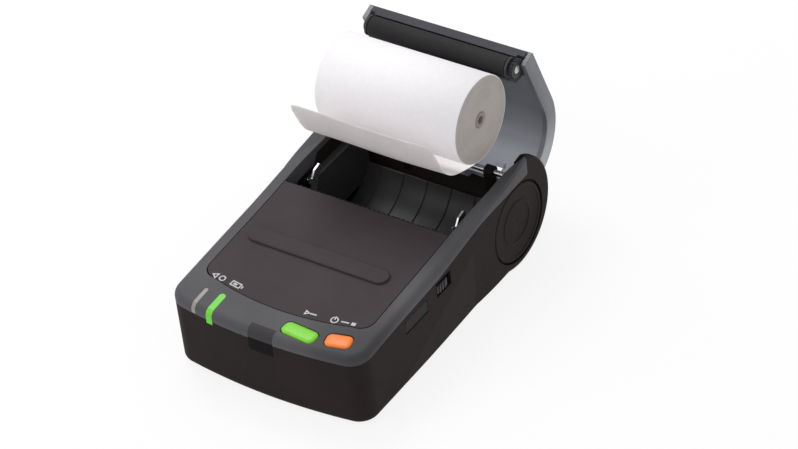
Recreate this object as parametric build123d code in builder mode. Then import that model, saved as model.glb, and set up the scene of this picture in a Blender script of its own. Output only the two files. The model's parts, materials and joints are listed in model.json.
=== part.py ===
"""Portable clamshell printer for 58 mm paper rolls, lid open and the roll raised.

Millimetres. X points right, Y to the rear, Z up. The origin is on the floor under the case.
"""
import math
import os

from build123d import *

os.makedirs("parts", exist_ok=True)

# Case
wall = 2.0
case_bottom = 0.8
floor_top = 2.6
hub_y = 38.8
hub_z = 21.85
hub_r = 21.5
hub_face_x = 39.3
cap_y = 39.5
cap_z = 18.3
rail_x = 34.0
rear_wall_top = 16.4
rail_end_y = 47.5

# Lid hinge and how far the lid stands open
hinge_y = 56.0
hinge_z = 21.85
lid_open_deg = 86.0
lid_half = 33.5
lid_wall = 1.9
pin_r = 1.1
running = 0.05

# Platen, as it sits with the lid closed
platen_y = 9.2
platen_z = 27.3
platen_r = 3.5
shaft_r = 1.5

# Paper
paper_half = 28.75
roll_r = 16.0
core_r = 2.8
core_wall = 1.3
roll_y = 37.8
roll_z = 60.3
seat_y = 34.0
seat_z = 20.6

# Latch shaft
latch_y = 0.5
latch_z = 14.4

# Gears, module and tooth counts
module = 0.4
pinion_teeth = 12
reduction_teeth = 30
drive_teeth = 24
platen_teeth = 18

TOP_LINE = [(-63, 29.6), (-50, 30.6), (-25, 32.5), (0, 34.4), (12.7, 35.7), (24, 36.2), (46, 36.2)]
SEAM_LINE = [(-63, 25.8), (-52, 27.0), (-33, 28.4), (-10, 29.5), (0, 31.0), (9, 32.4), (17, 33.6), (46, 34.0)]
RAIL_LINE = [(13, 35.3, 34.9), (26.6, 35.9, 36.9), (37, 36.8, 38.2), (rail_end_y, 36.3, 41.3)]


def side_hollow(inset):
    """Shallow hollow low on the right side wall, ahead of the hub."""
    near = 39.35 - inset
    with BuildPart() as hollow:
        for height, share in ((-1, 1), (25, 0.04)):
            with BuildSketch(Plane.XY.offset(height)):
                Polygon(
                    (near, 12 - 57 * share),
                    (near - 1.9 * share, 12),
                    (near, 12 + 20 * share),
                    align=None,
                )
        loft(ruled=True)
    return hollow.part


def body_solid(inset, floor, drop):
    """The case as one closed form, shrunk by inset at the sides and by drop at the top."""
    rear_r = hub_z - floor
    rear_angle = math.asin((rear_wall_top - hub_z) / rear_r)
    mid_angle = (rear_angle - math.pi / 2) / 2
    with BuildPart() as solid:
        with BuildSketch(Plane.XY):
            with BuildLine() as edge:
                ThreePointArc(
                    (0, -60.75 + inset),
                    (16.6 - 0.07 * inset, -60.14 + inset),
                    (33.15 - 0.146 * inset, -58.31 + 0.989 * inset),
                )
                ThreePointArc(
                    (33.15 - 0.146 * inset, -58.31 + 0.989 * inset),
                    (37.55 - 0.757 * inset, -55.89 + 0.653 * inset),
                    (39.3 - inset, -51.19),
                )
                Polyline((39.3 - inset, -51.19), (39.3 - inset, 62), (0, 62))
                mirror(about=Plane.YZ)
            make_face()
        extrude(amount=50)
        with BuildSketch(Plane.YZ):
            with BuildLine():
                Line((-63, floor), (hub_y, floor))
                ThreePointArc(
                    (hub_y, floor),
                    (hub_y + rear_r * math.cos(mid_angle), hub_z + rear_r * math.sin(mid_angle)),
                    (hub_y + rear_r * math.cos(rear_angle), rear_wall_top),
                )
                Polyline(
                    (hub_y + rear_r * math.cos(rear_angle), rear_wall_top),
                    (52 - drop, 30),
                    (46, 36.2 - drop),
                )
                Spline([(y, z - drop) for y, z in reversed(TOP_LINE)])
                Line((-63, 29.6 - drop), (-63, floor))
            make_face()
        extrude(amount=60, both=True, mode=Mode.INTERSECT)
    return solid.part


def opening_plan(inset, rear):
    """Outline of the opening in the grey frame: bowed front edge, straight sides."""
    with BuildSketch() as plan:
        with BuildLine():
            ThreePointArc((-28.5, -45.0 + inset), (0, -48.8 + inset), (28.5, -45.0 + inset))
            ThreePointArc((28.5, -45.0 + inset), (32.5 - inset, -43.5 + inset), (34 - inset, -39.8))
            Polyline((34 - inset, -39.8), (34 - inset, rear), (inset - 34, rear), (inset - 34, -39.8))
            ThreePointArc((inset - 34, -39.8), (inset - 32.5, -43.5 + inset), (-28.5, -45.0 + inset))
        make_face()
    return plan.sketch


def rail_zone():
    """Space above the seam beside the lid, taken by the grey rails and not by the hubs."""
    with BuildPart() as zone:
        with BuildSketch(Plane.YZ):
            Polygon((9, 32.4), (17, 33.6), (rail_end_y, 34.0), (rail_end_y, 60), (9, 60), align=None)
        extrude(amount=60, both=True)
    return zone.part


def rail_strip():
    """Right rail beside the lid: its outer edge climbs to meet the round hub."""
    with BuildPart() as strip:
        for y, inner_z, outer_z in RAIL_LINE:
            with BuildSketch(Plane.XZ.offset(-y)):
                Polygon(
                    (rail_x, 30),
                    (hub_face_x, 30),
                    (hub_face_x, outer_z - 0.8),
                    (hub_face_x - 0.8, outer_z),
                    (rail_x, inner_z),
                    align=None,
                )
        loft()
        add(rail_zone(), mode=Mode.INTERSECT)
    return strip.part


def hub_solid(side):
    """Round side hub: a flat disc outside, a cone towards the paper well."""
    with BuildPart() as hub:
        with BuildSketch(Plane.XY):
            with BuildLine():
                Polyline(
                    (0, rail_x),
                    (17.6, rail_x),
                    (hub_r, 36.8),
                    (hub_r, hub_face_x - 1.2),
                )
                ThreePointArc(
                    (hub_r, hub_face_x - 1.2),
                    (hub_r - 0.35, hub_face_x - 0.35),
                    (hub_r - 1.2, hub_face_x),
                )
                Polyline((hub_r - 1.2, hub_face_x), (0, hub_face_x), (0, rail_x))
            make_face()
        revolve(axis=Axis.Y)
    turned = Rotation(0, 0, -90) * hub.part
    placed = Location((0, hub_y, hub_z)) * turned - rail_zone()
    if side < 0:
        placed = mirror(placed, about=Plane.YZ)
    return placed


def coil(radius, wire, pitch, height):
    """Coil spring along Z, standing on the origin."""
    with BuildPart() as spring:
        with BuildLine() as path:
            Helix(pitch=pitch, height=height, radius=radius)
        with BuildSketch(Plane(origin=path.line @ 0, z_dir=path.line % 0)):
            Circle(wire)
        sweep()
    return spring.part


def gear_blank(teeth, thickness, bore, phase):
    """Spur gear along +X with one tooth centred at the phase angle, seen from +X."""
    pitch_r = module * teeth / 2
    step = 360 / teeth
    tip_r = pitch_r + 0.75 * module
    root_r = pitch_r - 1.0 * module
    points = []
    for index in range(teeth):
        middle = phase + index * step
        for radius, share in ((root_r, -0.30), (tip_r, -0.12), (tip_r, 0.12), (root_r, 0.30)):
            angle = math.radians(middle + share * step)
            points.append((radius * math.cos(angle), radius * math.sin(angle)))
    with BuildPart() as gear:
        with BuildSketch(Plane.YZ):
            Polygon(*points, align=None)
            Circle(bore, mode=Mode.SUBTRACT)
        extrude(amount=thickness)
    return gear.part


# The lid is drawn in its closed place and turned open about the hinge axis.
open_rad = math.radians(lid_open_deg)
lid_plane = Plane(
    origin=(0, hinge_y, hinge_z),
    x_dir=(0, math.cos(open_rad), -math.sin(open_rad)),
    z_dir=(1, 0, 0),
)


def in_lid(y, z):
    """Closed place of a lid point, as the lid plane's own coordinates."""
    return (y - hinge_y, z - hinge_z)


def lid_band(depth):
    """Side view of the lid's rim, depth deep, from the free end to the hinge."""
    lean = math.radians(16.6)
    start = math.radians(106.6)
    inner = hub_r - depth
    out_tip = (hub_y + hub_r * math.cos(start) - 26.8 * math.cos(lean), 0)
    tip_z = hub_z + hub_r * math.sin(start) - 26.8 * math.sin(lean)
    outer_tip = in_lid(out_tip[0], tip_z)
    outer_bend = in_lid(hub_y + hub_r * math.cos(start), hub_z + hub_r * math.sin(start))
    outer_mid = in_lid(hub_y + hub_r * math.cos(start / 2), hub_z + hub_r * math.sin(start / 2))
    outer_end = in_lid(hub_y + hub_r, hub_z)
    inner_tip = (outer_tip[0] + depth * math.sin(lean), outer_tip[1] - depth * math.cos(lean))
    inner_bend = in_lid(hub_y + inner * math.cos(start), hub_z + inner * math.sin(start))
    inner_mid = in_lid(hub_y + inner * math.cos(start / 2), hub_z + inner * math.sin(start / 2))
    inner_end = in_lid(hub_y + inner, hub_z)
    with BuildSketch() as band:
        with BuildLine():
            Line(outer_tip, outer_bend)
            ThreePointArc(outer_bend, outer_mid, outer_end)
            Line(outer_end, inner_end)
            ThreePointArc(inner_end, inner_mid, inner_bend)
            Polyline(inner_bend, inner_tip, outer_tip)
        make_face()
    return band.sketch


body_outer = body_solid(0, case_bottom, 0)
with BuildPart() as cavity:
    add(body_solid(wall, floor_top, wall))
    add(side_hollow(wall), mode=Mode.SUBTRACT)
    add(mirror(side_hollow(wall), about=Plane.YZ), mode=Mode.SUBTRACT)
body_cavity = cavity.part

with BuildPart() as body_form:
    add(body_outer)
    top = body_form.faces().filter_by(lambda f: f.normal_at().Z > 0.7).sort_by(SortBy.AREA)[-1]
    fillet([e for e in top.edges() if e.center().Y < 40], 2.6)
    low = body_form.edges().group_by(Axis.Z)[0]
    fillet([e for e in low if e.center().Y < 30], 2.4)
    add(side_hollow(0), mode=Mode.SUBTRACT)
    add(mirror(side_hollow(0), about=Plane.YZ), mode=Mode.SUBTRACT)

# Parts set flush into the case skin
with BuildPart() as error_light_pipe:
    add(body_form.part)
    with BuildSketch(Plane.XY.offset(26.4)):
        with Locations((-27.5, -56.5)):
            Rectangle(1.6, 11)
        with Locations((-27.5, -51.0)):
            Circle(0.8)
    extrude(amount=8, mode=Mode.INTERSECT)
    with Locations((-27.5, -51.4, 26.6)):
        Box(4, 13.2, 4, mode=Mode.SUBTRACT)
error_light_pipe.part.label = "error_light_pipe"
export_step(error_light_pipe.part, "parts/error_light_pipe.step")

with BuildPart() as power_light_pipe:
    add(body_form.part)
    with BuildSketch(Plane.XY.offset(24.8)):
        with Locations((-20.6, -56.9)):
            Rectangle(2.6, 11)
        with Locations((-20.6, -51.4)):
            Circle(1.3)
    extrude(amount=9.6, mode=Mode.INTERSECT)
    with Locations((-20.6, -52.0, 26.6)):
        Box(5, 13.2, 4, mode=Mode.SUBTRACT)
power_light_pipe.part.label = "power_light_pipe"
export_step(power_light_pipe.part, "parts/power_light_pipe.step")

with BuildPart() as infrared_window:
    add(body_form.part)
    with BuildSketch(Plane.XY.offset(21.2)):
        with Locations((1, -59.4)):
            Rectangle(10, 4.2)
    extrude(amount=12, mode=Mode.INTERSECT)
    with Locations((1, -56.2, 24.8)):
        Box(12, 6, 8, mode=Mode.SUBTRACT)
infrared_window.part.label = "infrared_window"
export_step(infrared_window.part, "parts/infrared_window.step")

with BuildPart() as port_cover:
    with Locations((38.7, -24.5, 24.3)):
        Box(1.2, 13.0, 4.4)
    fillet(port_cover.edges().filter_by(Axis.X).group_by(Axis.Z)[-1], 1.0)
    with Locations(Location((38.7, -24.5, 22.1), (90, 0, 0))):
        Cylinder(0.6, 13.0)
port_cover.part.label = "port_cover"
export_step(port_cover.part, "parts/port_cover.step")

# Lower case
right_hub = hub_solid(1)
left_hub = hub_solid(-1)

with BuildPart() as lower_case:
    add(body_form.part)
    with BuildSketch(Plane.YZ):
        with BuildLine():
            Polyline(*SEAM_LINE, (47, 45), (70, 45), (70, -2), (-70, -2), (-70, 25.8), (-63, 25.8))
        make_face()
    extrude(amount=60, both=True, mode=Mode.INTERSECT)
    add(body_cavity, mode=Mode.SUBTRACT)
    with BuildSketch(Plane.XY.offset(27)):
        add(opening_plan(0, 50))
    extrude(amount=30, mode=Mode.SUBTRACT)
    with Locations((0, 53, 31.4)):
        Box(2 * rail_x, 18, 30, mode=Mode.SUBTRACT)
    add(right_hub)
    add(left_hub)
    # Bosses that carry the ends of the hinge pin
    with BuildSketch(Plane.YZ.offset(rail_x)):
        with Locations((hinge_y, hinge_z)):
            Circle(4.0)
    extrude(amount=4)
    with BuildSketch(Plane.YZ.offset(-rail_x)):
        with Locations((hinge_y, hinge_z)):
            Circle(4.0)
    extrude(amount=-4)
    # Hinge lugs standing on the rear wall
    for side in (-1, 1):
        with BuildSketch(Plane.YZ.offset(side * 17.7 - 1.6)):
            with BuildLine():
                Polyline(
                    (hinge_y - 2.2, hinge_z),
                    (hinge_y - 1.0, 10.0),
                    (hinge_y + 1.4, 12.0),
                    (hinge_y + 2.2, hinge_z),
                )
                ThreePointArc(
                    (hinge_y + 2.2, hinge_z),
                    (hinge_y, hinge_z + 2.2),
                    (hinge_y - 2.2, hinge_z),
                )
            make_face()
        extrude(amount=3.2)
    add(rail_zone(), mode=Mode.SUBTRACT)
    with BuildSketch(Plane.YZ.offset(-38)):
        with Locations((hinge_y, hinge_z)):
            Circle(pin_r)
    extrude(amount=76, mode=Mode.SUBTRACT)
    # Recesses for the round side caps
    for side in (-1, 1):
        with Locations(Location((side * 39.0, cap_y, cap_z), (0, 90, 0))):
            Cylinder(15.6, 2.2, mode=Mode.SUBTRACT)
    # Posts for the circuit board, the mechanism and the screws
    with BuildSketch(Plane.XY.offset(floor_top - 0.2)):
        with Locations((-32.6, -42), (32.6, -42), (-32.6, -24), (32.6, -24)):
            Circle(2.0)
    extrude(amount=20.0 - floor_top + 0.2)
    with BuildSketch(Plane.XY.offset(floor_top - 0.2)):
        with Locations((-25, -1), (25, -1)):
            Circle(2.4)
    extrude(amount=12.0 - floor_top + 0.2)
    with BuildSketch(Plane.XY.offset(floor_top - 0.2)):
        with Locations((-33, -49.5), (33, -49.5), (-32.4, 6), (32.4, 6)):
            Circle(2.6)
    extrude(amount=7)
    with BuildSketch(Plane.XY.offset(case_bottom - 0.1)):
        with Locations((-33, -49.5), (33, -49.5), (-32.4, 6), (32.4, 6)):
            Circle(1.1)
    extrude(amount=8, mode=Mode.SUBTRACT)
    with BuildSketch(Plane.XY.offset(case_bottom - 0.1)):
        with Locations((-33, -49.5), (33, -49.5), (-32.4, 6), (32.4, 6)):
            Circle(2.2)
    extrude(amount=1.3, mode=Mode.SUBTRACT)
    # Battery bay: the cover's track and the opening over it
    with Locations((-9, -28.95, 1.3)):
        Box(42.4, 44.5, 1.5, mode=Mode.SUBTRACT)
    with Locations((-9, -31, 2.4)):
        Box(40, 38, 1.2, mode=Mode.SUBTRACT)
    # Port recess with the socket mouths behind it
    with Locations((39.9, -24.5, 24.0)):
        Box(4.0, 13.5, 5.5, mode=Mode.SUBTRACT)
    with Locations((37, -27.0, 23.3)):
        Box(4, 6.4, 3.4, mode=Mode.SUBTRACT)
    with Locations(Location((37, -20.8, 23.9), (0, 90, 0))):
        Cylinder(2.2, 4, mode=Mode.SUBTRACT)
    # Window for the release lever
    with Locations((37.6, -7.55, 25.7)):
        Box(6, 8.9, 5.8, mode=Mode.SUBTRACT)
    add(infrared_window.part, mode=Mode.SUBTRACT)
    add(power_light_pipe.part, mode=Mode.SUBTRACT)
lower_case.part.label = "lower_case"
export_step(lower_case.part, "parts/lower_case.step")

# Grey frame with the button slots
with BuildPart() as upper_frame:
    add(body_form.part)
    with BuildSketch(Plane.YZ):
        with BuildLine():
            Polyline(*SEAM_LINE, (46, 60), (-70, 60), (-70, 25.8), (-63, 25.8))
        make_face()
    extrude(amount=60, both=True, mode=Mode.INTERSECT)
    add(body_cavity, mode=Mode.SUBTRACT)
    # Inner lips beside the opening
    for side in (-1, 1):
        with BuildSketch(Plane.YZ.offset(side * (rail_x + 0.5) - 0.5)):
            Polygon((-40, 28.4), (46, 30.4), (46, 35), (24, 35), (10, 34.5), (-40, 30.6), align=None)
        extrude(amount=1.0)
    with BuildSketch(Plane.XY.offset(20)):
        add(opening_plan(0, 60))
    extrude(amount=30, mode=Mode.SUBTRACT)
    add(right_hub, mode=Mode.SUBTRACT)
    add(left_hub, mode=Mode.SUBTRACT)
    add(rail_strip())
    add(mirror(rail_strip(), about=Plane.YZ))
    with BuildSketch(Plane.XY.offset(25.5)):
        with Locations((20.6, -49.8), (-12, -51.2)):
            Circle(0.9)
    extrude(amount=4.0)
    with BuildSketch(Plane.XY.offset(26)):
        with Locations(Location((13.4, -54.6), -4)):
            RectangleRounded(14.1, 6.2, 2.3)
        with Locations(Location((27.6, -52.4), 14)):
            RectangleRounded(9.9, 6.6, 2.5)
    extrude(amount=8, mode=Mode.SUBTRACT)
    with Locations(Location((34.2, 11.5, 34.0), (0, 90, 0))):
        Cylinder(0.8, 1.1, mode=Mode.SUBTRACT)
    add(error_light_pipe.part, mode=Mode.SUBTRACT)
    add(power_light_pipe.part, mode=Mode.SUBTRACT)
    add(infrared_window.part, mode=Mode.SUBTRACT)
upper_frame.part.label = "upper_frame"
export_step(upper_frame.part, "parts/upper_frame.step")

# Front panel: a plate that follows the top surface, with a raised rib
rib_plane = Plane(origin=(-1.5, -21.1, 31.6), x_dir=(1, 0, 0), z_dir=(0, -0.076, 1))
with BuildPart() as panel_rib:
    with BuildSketch(rib_plane):
        SlotOverall(57, 7)
    extrude(amount=2.1)
    fillet(panel_rib.faces().sort_by(Axis.Z)[-1].edges(), 0.55)

with BuildPart() as front_panel:
    add(body_form.part)
    add(body_cavity, mode=Mode.SUBTRACT)
    with BuildSketch(Plane.XY.offset(20)):
        add(opening_plan(0.3, 5.6))
    extrude(amount=30, mode=Mode.INTERSECT)
    add(panel_rib.part)
front_panel.part.label = "front_panel"
export_step(front_panel.part, "parts/front_panel.step")

for side, name in ((-1, "left_hub_cap"), (1, "right_hub_cap")):
    with BuildPart() as hub_cap:
        with BuildSketch(Plane.XY):
            with BuildLine():
                Polyline(
                    (0, 37.9),
                    (14.9, 37.9),
                    (14.9, 38.8),
                    (14.4, 39.2),
                    (13.6, 39.2),
                    (13.2, 38.9),
                    (8.8, 38.7),
                    (8.4, 38.95),
                    (7.6, 38.95),
                    (7.2, 38.65),
                    (0, 38.6),
                    (0, 37.9),
                )
            make_face()
        revolve(axis=Axis.Y)
    cap_part = Location((0, cap_y, cap_z)) * Rotation(0, 0, -90) * hub_cap.part
    if side < 0:
        cap_part = mirror(cap_part, about=Plane.YZ)
    cap_part.label = name
    export_step(cap_part, "parts/" + name + ".step")

# Paper well: curved floor with grooves, end walls and side ledges
with BuildPart() as paper_well:
    with BuildSketch(Plane.YZ.offset(-31.4)):
        with Locations((seat_y, seat_z)):
            Circle(17.9)
            Circle(16.9, mode=Mode.SUBTRACT)
        with BuildLine():
            Polyline(
                (seat_y, seat_z),
                (seat_y + 40 * math.cos(math.radians(-116)), seat_z + 40 * math.sin(math.radians(-116))),
                (seat_y + 40 * math.cos(math.radians(-24)), seat_z + 40 * math.sin(math.radians(-24))),
                (seat_y, seat_z),
            )
        make_face(mode=Mode.INTERSECT)
    extrude(amount=62.8)
    for index in range(6):
        with BuildSketch(Plane.YZ.offset(-25.3 + index * 10)):
            with Locations((seat_y, seat_z)):
                Circle(17.3)
        extrude(amount=0.6, mode=Mode.SUBTRACT)
    for side in (-1, 1):
        with BuildSketch(Plane.YZ.offset(side * 31.0 - 0.4)):
            with Locations((seat_y, seat_z)):
                Circle(17.9)
            with Locations((33.4, 18)):
                Rectangle(33.6, 20.2, mode=Mode.INTERSECT)
        extrude(amount=0.8)
        with Locations((side * 32.55, 33.5, 27.4)):
            Box(2.7, 33, 1.0)
paper_well.part.label = "paper_well"
export_step(paper_well.part, "parts/paper_well.step")

with BuildPart() as battery_cover:
    with Locations((-9, -31, 1.4)):
        Box(42, 40, 1.2)
    with BuildSketch(Plane.XY.offset(0.8)):
        with Locations((-9, -14), (-9, -16), (-9, -18)):
            Rectangle(16, 0.8)
    extrude(amount=0.4, mode=Mode.SUBTRACT)
battery_cover.part.label = "battery_cover"
export_step(battery_cover.part, "parts/battery_cover.step")

with BuildPart() as battery_pack:
    with Locations((-9, -31, 8.1)):
        Box(37, 36, 11.4)
    fillet(battery_pack.edges().filter_by(Axis.Y), 1.2)
battery_pack.part.label = "battery_pack"
export_step(battery_pack.part, "parts/battery_pack.step")

with BuildPart() as battery_contacts:
    with Locations((-15, -12.2, 7), (-9, -12.2, 7), (-3, -12.2, 7)):
        Box(2.4, 0.6, 8)
    with Locations((-9, -11.5, 5.0)):
        Box(18, 0.8, 4.8)
battery_contacts.part.label = "battery_contacts"
export_step(battery_contacts.part, "parts/battery_contacts.step")

with BuildPart() as main_board:
    with Locations((0, -32.5, 20.7)):
        Box(70, 24, 1.4)
    with Locations((-12, -34, 21.9)):
        Box(12, 12, 1.0)
    with Locations((8, -30, 21.8)):
        Box(8, 6, 0.8)
    with Locations((8, -38, 21.7)):
        Box(6, 4, 0.6)
main_board.part.label = "main_board"
export_step(main_board.part, "parts/main_board.step")

with BuildPart() as key_board:
    with Locations((1, -51.5, 25.0)):
        Box(58, 8.0, 1.0)
key_board.part.label = "key_board"
export_step(key_board.part, "parts/key_board.step")

with BuildPart() as button_switches:
    with Locations((13.4, -53.0, 26.1), (27.5, -51.8, 26.1)):
        Box(4.5, 4.5, 1.2)
    with Locations((13.4, -53.0, 26.75), (27.5, -51.8, 26.75)):
        Cylinder(1.2, 0.4)
button_switches.part.label = "button_switches"
export_step(button_switches.part, "parts/button_switches.step")

with BuildPart() as light_emitters:
    with Locations((-27.5, -52.0, 26.2), (-20.6, -52.0, 26.2), (1, -54.0, 26.2)):
        Box(1.8, 1.4, 1.4)
light_emitters.part.label = "light_emitters"
export_step(light_emitters.part, "parts/light_emitters.step")

for name, middle, angle, length, width in (
    ("feed_button", (13.4, -54.6), -4, 13.5, 5.6),
    ("power_button", (27.6, -52.4), 14, 9.3, 6.0),
):
    with BuildPart() as button:
        with BuildSketch(Plane.XY.offset(27.6)):
            with Locations(Location(middle, angle)):
                RectangleRounded(length + 1.6, width + 0.3, 2.5)
        extrude(amount=0.25)
        with BuildSketch(Plane.XY.offset(27.85)):
            with Locations(Location(middle, angle)):
                RectangleRounded(length, width, 2.1)
        extrude(amount=3.15)
        fillet(button.edges().group_by(Axis.Z)[-1], 0.8)
    button.part.label = name
    export_step(button.part, "parts/" + name + ".step")

with BuildPart() as rubber_feet:
    with BuildSketch(Plane.XY):
        with Locations((-33.8, -38), (33.8, -38), (-27, 30), (27, 30), (0, 0)):
            Circle(2.8)
    extrude(amount=case_bottom)
rubber_feet.part.label = "rubber_feet"
export_step(rubber_feet.part, "parts/rubber_feet.step")

with BuildPart() as case_screws:
    with BuildSketch(Plane.XY.offset(0.9)):
        with Locations((-33, -49.5), (33, -49.5), (-32.4, 6), (32.4, 6)):
            Circle(2.2)
    extrude(amount=1.1)
    with BuildSketch(Plane.XY.offset(2.0)):
        with Locations((-33, -49.5), (33, -49.5), (-32.4, 6), (32.4, 6)):
            Circle(1.1)
    extrude(amount=6.5)
    with BuildSketch(Plane.XY.offset(0.9)):
        with Locations((-33, -49.5), (33, -49.5), (-32.4, 6), (32.4, 6)):
            Rectangle(2.4, 0.5)
            Rectangle(0.5, 2.4)
    extrude(amount=0.5, mode=Mode.SUBTRACT)
case_screws.part.label = "case_screws"
export_step(case_screws.part, "parts/case_screws.step")

# Print mechanism
motor_y = -11.5
motor_z = 17.5
drive_y = 2.9
drive_z = 20.4
reduction_gap = module * (reduction_teeth + drive_teeth) / 2
pinion_gap = module * (reduction_teeth + pinion_teeth) / 2
span = math.hypot(drive_y - motor_y, drive_z - motor_z)
along = (pinion_gap ** 2 - reduction_gap ** 2 + span ** 2) / (2 * span)
lift = math.sqrt(pinion_gap ** 2 - along ** 2)
toward_y = (drive_y - motor_y) / span
toward_z = (drive_z - motor_z) / span
reduction_y = motor_y + along * toward_y - lift * toward_z
reduction_z = motor_z + along * toward_z + lift * toward_y

with BuildPart() as mechanism_frame:
    with Locations((0, -3.6, 21.7)):
        Box(58.8, 0.8, 19.4)
    with Locations((0, 0.1, 12.3)):
        Box(58.8, 8.2, 0.6)
    for side in (-1, 1):
        with Locations((side * 28.9, -8.4, 20.9)):
            Box(1.0, 21.2, 17.8)
    with Locations((0, 3.3, 12.3)):
        Box(22, 2.0, 1.2, mode=Mode.SUBTRACT)
    with Locations(Location((29, motor_y, motor_z), (0, 90, 0))):
        Cylinder(1.2, 4, mode=Mode.SUBTRACT)
    with Locations(Location((29, reduction_y, reduction_z), (0, 90, 0))):
        Cylinder(0.8, 4, mode=Mode.SUBTRACT)
    with Locations(Location((0, latch_y, latch_z), (0, 90, 0))):
        Cylinder(1.05, 62, mode=Mode.SUBTRACT)
mechanism_frame.part.label = "mechanism_frame"
export_step(mechanism_frame.part, "parts/mechanism_frame.step")

with BuildPart() as head_heat_sink:
    with Locations((0, 3.25, 25.3)):
        Box(55, 1.9, 13.6)
    with BuildSketch(Plane.XY.offset(18.5)):
        with GridLocations(5.0, 0, 10, 1):
            with Locations((0, 2.0)):
                Rectangle(1.2, 0.8)
    extrude(amount=13.6)
head_heat_sink.part.label = "head_heat_sink"
export_step(head_heat_sink.part, "parts/head_heat_sink.step")

with BuildPart() as print_head:
    with Locations((0, 4.7, 26.9)):
        Box(54, 1.0, 10.4)
    with Locations(Location((0, 5.2, platen_z), (0, 90, 0))):
        Cylinder(0.35, 48)
print_head.part.label = "print_head"
export_step(print_head.part, "parts/print_head.step")

with BuildPart() as head_springs:
    for x in (-17.5, 17.5):
        add(Location((x, -3.0, 25.5), (-90, 0, 0)) * coil(1.6, 0.22, 0.9, 4.2))
head_springs.part.label = "head_springs"
export_step(head_springs.part, "parts/head_springs.step")

tear_points = [(-29.5, 31.6), (29.5, 31.6), (29.5, 34.6)]
for index in range(59):
    tear_points.append((29.0 - index, 35.1 if index % 2 == 0 else 34.6))
tear_points.append((-29.5, 34.6))
with BuildPart() as tear_bar:
    with BuildSketch(Plane.XZ.offset(-6.2)):
        Polygon(*tear_points, align=None)
    extrude(amount=0.6)
tear_bar.part.label = "tear_bar"
export_step(tear_bar.part, "parts/tear_bar.step")

with BuildPart() as paper_sensor:
    with Locations((16, 3.1, 13.8)):
        Box(5, 2.2, 2.4)
paper_sensor.part.label = "paper_sensor"
export_step(paper_sensor.part, "parts/paper_sensor.step")

with BuildPart() as stepper_motor:
    with Locations(Location((21.2, motor_y, motor_z), (0, 90, 0))):
        Cylinder(7.0, 14.2)
    with Locations(Location((28.9, motor_y, motor_z), (0, 90, 0))):
        Cylinder(1.2, 1.2)
    with Locations((21.2, motor_y, motor_z - 7.3)):
        Box(6, 5, 1.0)
    fillet(stepper_motor.edges().filter_by(GeomType.CIRCLE).sort_by(Axis.X)[0], 0.8)
stepper_motor.part.label = "stepper_motor"
export_step(stepper_motor.part, "parts/stepper_motor.step")

# Gear phases: a gap of one wheel faces a tooth of the next
to_drive = math.degrees(math.atan2(drive_z - reduction_z, drive_y - reduction_y))
to_motor = math.degrees(math.atan2(motor_z - reduction_z, motor_y - reduction_y))
drive_phase = to_drive + 180
reduction_phase = to_drive + 180 / reduction_teeth
steps_off = (to_motor - reduction_phase) / (360 / reduction_teeth)
tooth_off = (round(steps_off) - steps_off) * 360 / reduction_teeth
pinion_phase = to_motor + 180 - tooth_off * reduction_teeth / pinion_teeth + 180 / pinion_teeth

with BuildPart() as motor_pinion:
    add(Location((30.7, motor_y, motor_z)) * gear_blank(pinion_teeth, 0.9, 0.3, pinion_phase))
    with Locations(Location((30.1, motor_y, motor_z), (0, 90, 0))):
        Cylinder(0.75, 1.2)
motor_pinion.part.label = "motor_pinion"
export_step(motor_pinion.part, "parts/motor_pinion.step")

with BuildPart() as reduction_gear:
    add(Location((30.7, reduction_y, reduction_z)) * gear_blank(reduction_teeth, 0.9, 0.85, reduction_phase))
reduction_gear.part.label = "reduction_gear"
export_step(reduction_gear.part, "parts/reduction_gear.step")

with BuildPart() as drive_gear:
    add(Location((30.7, drive_y, drive_z)) * gear_blank(drive_teeth, 0.9, 0.85, drive_phase))
drive_gear.part.label = "drive_gear"
export_step(drive_gear.part, "parts/drive_gear.step")

with BuildPart() as gear_axles:
    with Locations(Location((30.3, reduction_y, reduction_z), (0, 90, 0))):
        Cylinder(0.8, 3.4)
    with Locations(Location((32.2, reduction_y, reduction_z), (0, 90, 0))):
        Cylinder(1.3, 0.4)
    with Locations(Location((33.0, drive_y, drive_z), (0, 90, 0))):
        Cylinder(0.8, 4.6)
    with BuildSketch(Plane.YZ.offset(32.2)):
        with BuildLine():
            Polyline(
                (reduction_y - 1.3, reduction_z),
                (reduction_y + 0.6, reduction_z + 1.3),
                (drive_y + 1.3, drive_z + 0.8),
                (drive_y, drive_z - 1.3),
                (reduction_y - 1.3, reduction_z),
            )
        make_face()
    extrude(amount=0.8)
gear_axles.part.label = "gear_axles"
export_step(gear_axles.part, "parts/gear_axles.step")

with BuildPart() as head_cable:
    with BuildSketch(Plane.YZ.offset(-9)):
        with BuildLine():
            Polyline(
                (3.3, 18.4),
                (3.3, 10.6),
                (-6.0, 10.6),
                (-11.0, 14.8),
                (-17.6, 15.4),
                (-17.6, 22.2),
                (-23.0, 22.2),
                (-23.0, 21.9),
                (-17.9, 21.9),
                (-17.9, 15.1),
                (-11.1, 14.5),
                (-6.1, 10.3),
                (3.6, 10.3),
                (3.6, 18.4),
                (3.3, 18.4),
            )
        make_face()
    extrude(amount=18)
head_cable.part.label = "head_cable"
export_step(head_cable.part, "parts/head_cable.step")

with BuildPart() as data_socket:
    with Locations((34.2, -27.0, 23.1)):
        Box(6.0, 6.0, 3.0)
    with Locations((35.7, -27.0, 23.2)):
        Box(4.4, 5.2, 2.2, mode=Mode.SUBTRACT)
    with Locations((35.0, -27.0, 23.2)):
        Box(3.6, 3.8, 0.6)
data_socket.part.label = "data_socket"
export_step(data_socket.part, "parts/data_socket.step")

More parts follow.
